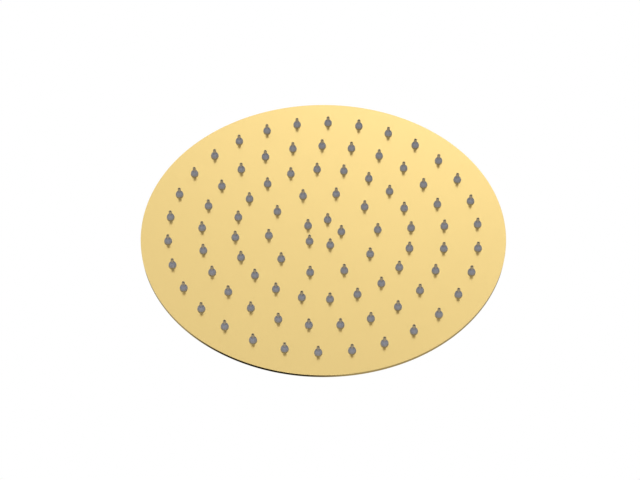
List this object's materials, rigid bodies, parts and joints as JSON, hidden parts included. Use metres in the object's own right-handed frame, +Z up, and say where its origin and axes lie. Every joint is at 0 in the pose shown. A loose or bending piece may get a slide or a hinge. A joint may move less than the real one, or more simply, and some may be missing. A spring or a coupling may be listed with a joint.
{
  "type": "shower head",
  "caption": "Thin round rain shower head with rings of silicone nozzles, a domed back and a swivel ball joint with a half inch female inlet.",
  "frame": {"origin": "centre of the threaded inlet's mouth, which is the top face of the inlet nut", "axes": "+Z up, out of the inlet along the thread's axis, so the spray leaves along -Z; +X and +Y across the disc, with a nozzle of every ring on +X"},
  "size_m": [0.2, 0.2, 0.0509],
  "materials": {
    "satin_gold": "stainless sheet with a satin gold vapour coating",
    "polished_gold": "turned brass with a gold plating",
    "grey_silicone": "matt grey silicone rubber",
    "white_acetal": "white acetal, as moulded",
    "black_rubber": "black nitrile rubber",
    "steel_mesh": "bare stainless wire mesh"
  },
  "bodies": {
    "inlet": {"swivel_ball": "polished_gold", "inlet_washer": "black_rubber", "filter_screen": "steel_mesh", "flow_regulator": "white_acetal", "regulator_ring": "black_rubber"},
    "seal": {"ball_seal": "black_rubber"},
    "head": {"face_plate": "satin_gold", "back_plate": "satin_gold", "nozzles_ring_1": "grey_silicone", "nozzles_ring_2": "grey_silicone", "nozzles_ring_3": "grey_silicone", "nozzles_ring_4": "grey_silicone", "nozzles_ring_5": "grey_silicone", "socket_boss": "polished_gold", "ball_seat": "white_acetal", "friction_ring": "white_acetal", "retaining_collar": "polished_gold"}
  },
  "joints": [
    {"name": "swivel", "type": "hinge", "parent": "inlet", "child": "seal", "pos_m": [0, 0, -0.02755], "axis": [0, 0, 1], "continuous": true},
    {"name": "tilt", "type": "hinge", "parent": "seal", "child": "head", "pos_m": [0, 0, -0.02755], "axis": [1, 0, 0], "range_deg": [-15, 15]}
  ]
}
